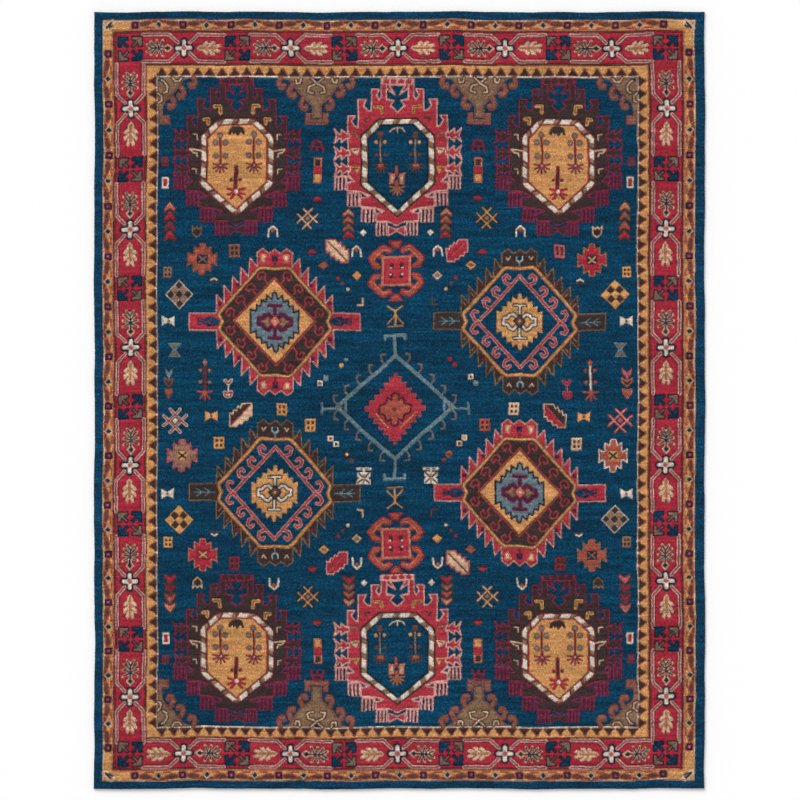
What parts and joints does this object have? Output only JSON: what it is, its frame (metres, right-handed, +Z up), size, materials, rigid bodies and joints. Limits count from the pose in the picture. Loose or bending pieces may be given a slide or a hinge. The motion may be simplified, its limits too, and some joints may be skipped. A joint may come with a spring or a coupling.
{
  "type": "area rug",
  "caption": "Rectangular hand-tufted wool area rug lying flat, with geometric medallions, shields and a banded border over a cotton backing.",
  "frame": {"origin": "middle of the rug's underside, on the floor", "axes": "+X across the rug, +Y along its length towards the head, +Z up from the floor"},
  "size_m": [2.286, 2.91, 0.016],
  "materials": {
    "navy_wool": "cut wool pile, matt",
    "gold_wool": "cut wool pile, matt",
    "red_wool": "cut wool pile, matt",
    "maroon_wool": "cut wool pile, matt",
    "brown_wool": "cut wool pile, matt",
    "khaki_wool": "cut wool pile, matt",
    "cream_wool": "cut wool pile, matt",
    "blue_wool": "cut wool pile, matt",
    "rust_wool": "cut wool pile, matt",
    "cotton_cloth": "plain-woven cotton, matt",
    "cotton_tape": "twill cotton tape, matt",
    "scrim": "open cotton net",
    "latex": "cured latex"
  },
  "bodies": {
    "root": {"backing_cloth": "cotton_cloth", "tape_left": "cotton_tape", "tape_right": "cotton_tape", "tape_head": "cotton_tape", "tape_foot": "cotton_tape", "adhesive_coat": "latex", "scrim_net": "scrim", "latex_coat": "latex", "primary_cloth": "cotton_cloth", "edge_band_pile": "navy_wool", "outer_guard_pile": "gold_wool", "guard_squares": "maroon_wool", "guard_diamonds": "navy_wool", "outer_line_pile": "maroon_wool", "main_border_pile": "red_wool", "cartouche_outlines": "cream_wool", "border_palmettes": "gold_wool", "border_leaves": "cream_wool", "border_crosses": "cream_wool", "navy_arrows": "navy_wool", "khaki_arrows": "khaki_wool", "inner_line_pile": "maroon_wool", "inner_guard_pile": "gold_wool", "inner_guard_teeth": "brown_wool", "cream_line_pile": "cream_wool", "field_pile": "navy_wool", "corner_brackets": "khaki_wool", "edge_brackets": "khaki_wool", "brown_shields": "brown_wool", "brown_shield_rings": "cream_wool", "brown_shield_centres": "gold_wool", "red_shields": "red_wool", "red_shield_rings": "cream_wool", "red_shield_centres": "navy_wool", "red_medallion_collars": "red_wool", "red_medallion_lines": "gold_wool", "red_medallion_bands": "brown_wool", "red_medallion_hearts": "gold_wool", "red_medallion_stars": "blue_wool", "brown_medallion_collars": "brown_wool", "brown_medallion_lines": "gold_wool", "brown_medallion_bands": "navy_wool", "brown_medallion_stars": "gold_wool", "lozenge_frame": "blue_wool", "lozenge_star": "red_wool", "crab_motifs": "rust_wool", "tree_motifs": "gold_wool", "lobed_stars": "rust_wool", "crossed_stars": "cream_wool", "checkered_diamonds": "khaki_wool", "chevron_stacks": "rust_wool", "leaf_motifs": "cream_wool", "bow_ties": "cream_wool", "small_boxes": "khaki_wool", "flower_stalks": "rust_wool", "small_figures": "cream_wool", "seed_diamonds": "gold_wool"}
  },
  "joints": []
}
